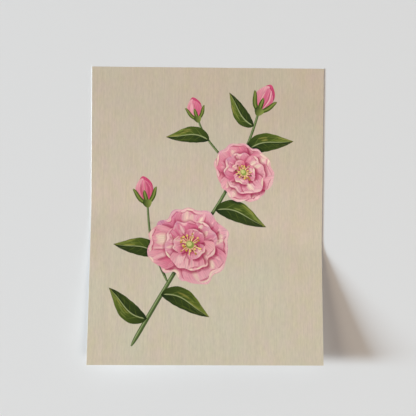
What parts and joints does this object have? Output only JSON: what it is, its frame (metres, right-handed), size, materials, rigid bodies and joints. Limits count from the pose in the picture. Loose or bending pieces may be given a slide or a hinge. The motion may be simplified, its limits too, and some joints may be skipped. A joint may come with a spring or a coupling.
{
  "type": "unframed art print",
  "caption": "Unframed art print on one heavy matte paper sheet, a floral design printed to the edges, lying face up with its foot curled clear of the surface.",
  "frame": {"origin": "middle of the sheet's box in plan, on the surface that its back rests on", "axes": "+X to the picture's right, +Y to the picture's top along the sheet's long side, +Z out of the printed face"},
  "size_m": [0.2796, 0.3544, 0.026],
  "materials": {
    "printed_paper": "matte cotton paper printed to its edges on the face, plain white on the back and the cut edges"
  },
  "bodies": {
    "root": {"print_sheet": "printed_paper"}
  },
  "joints": []
}
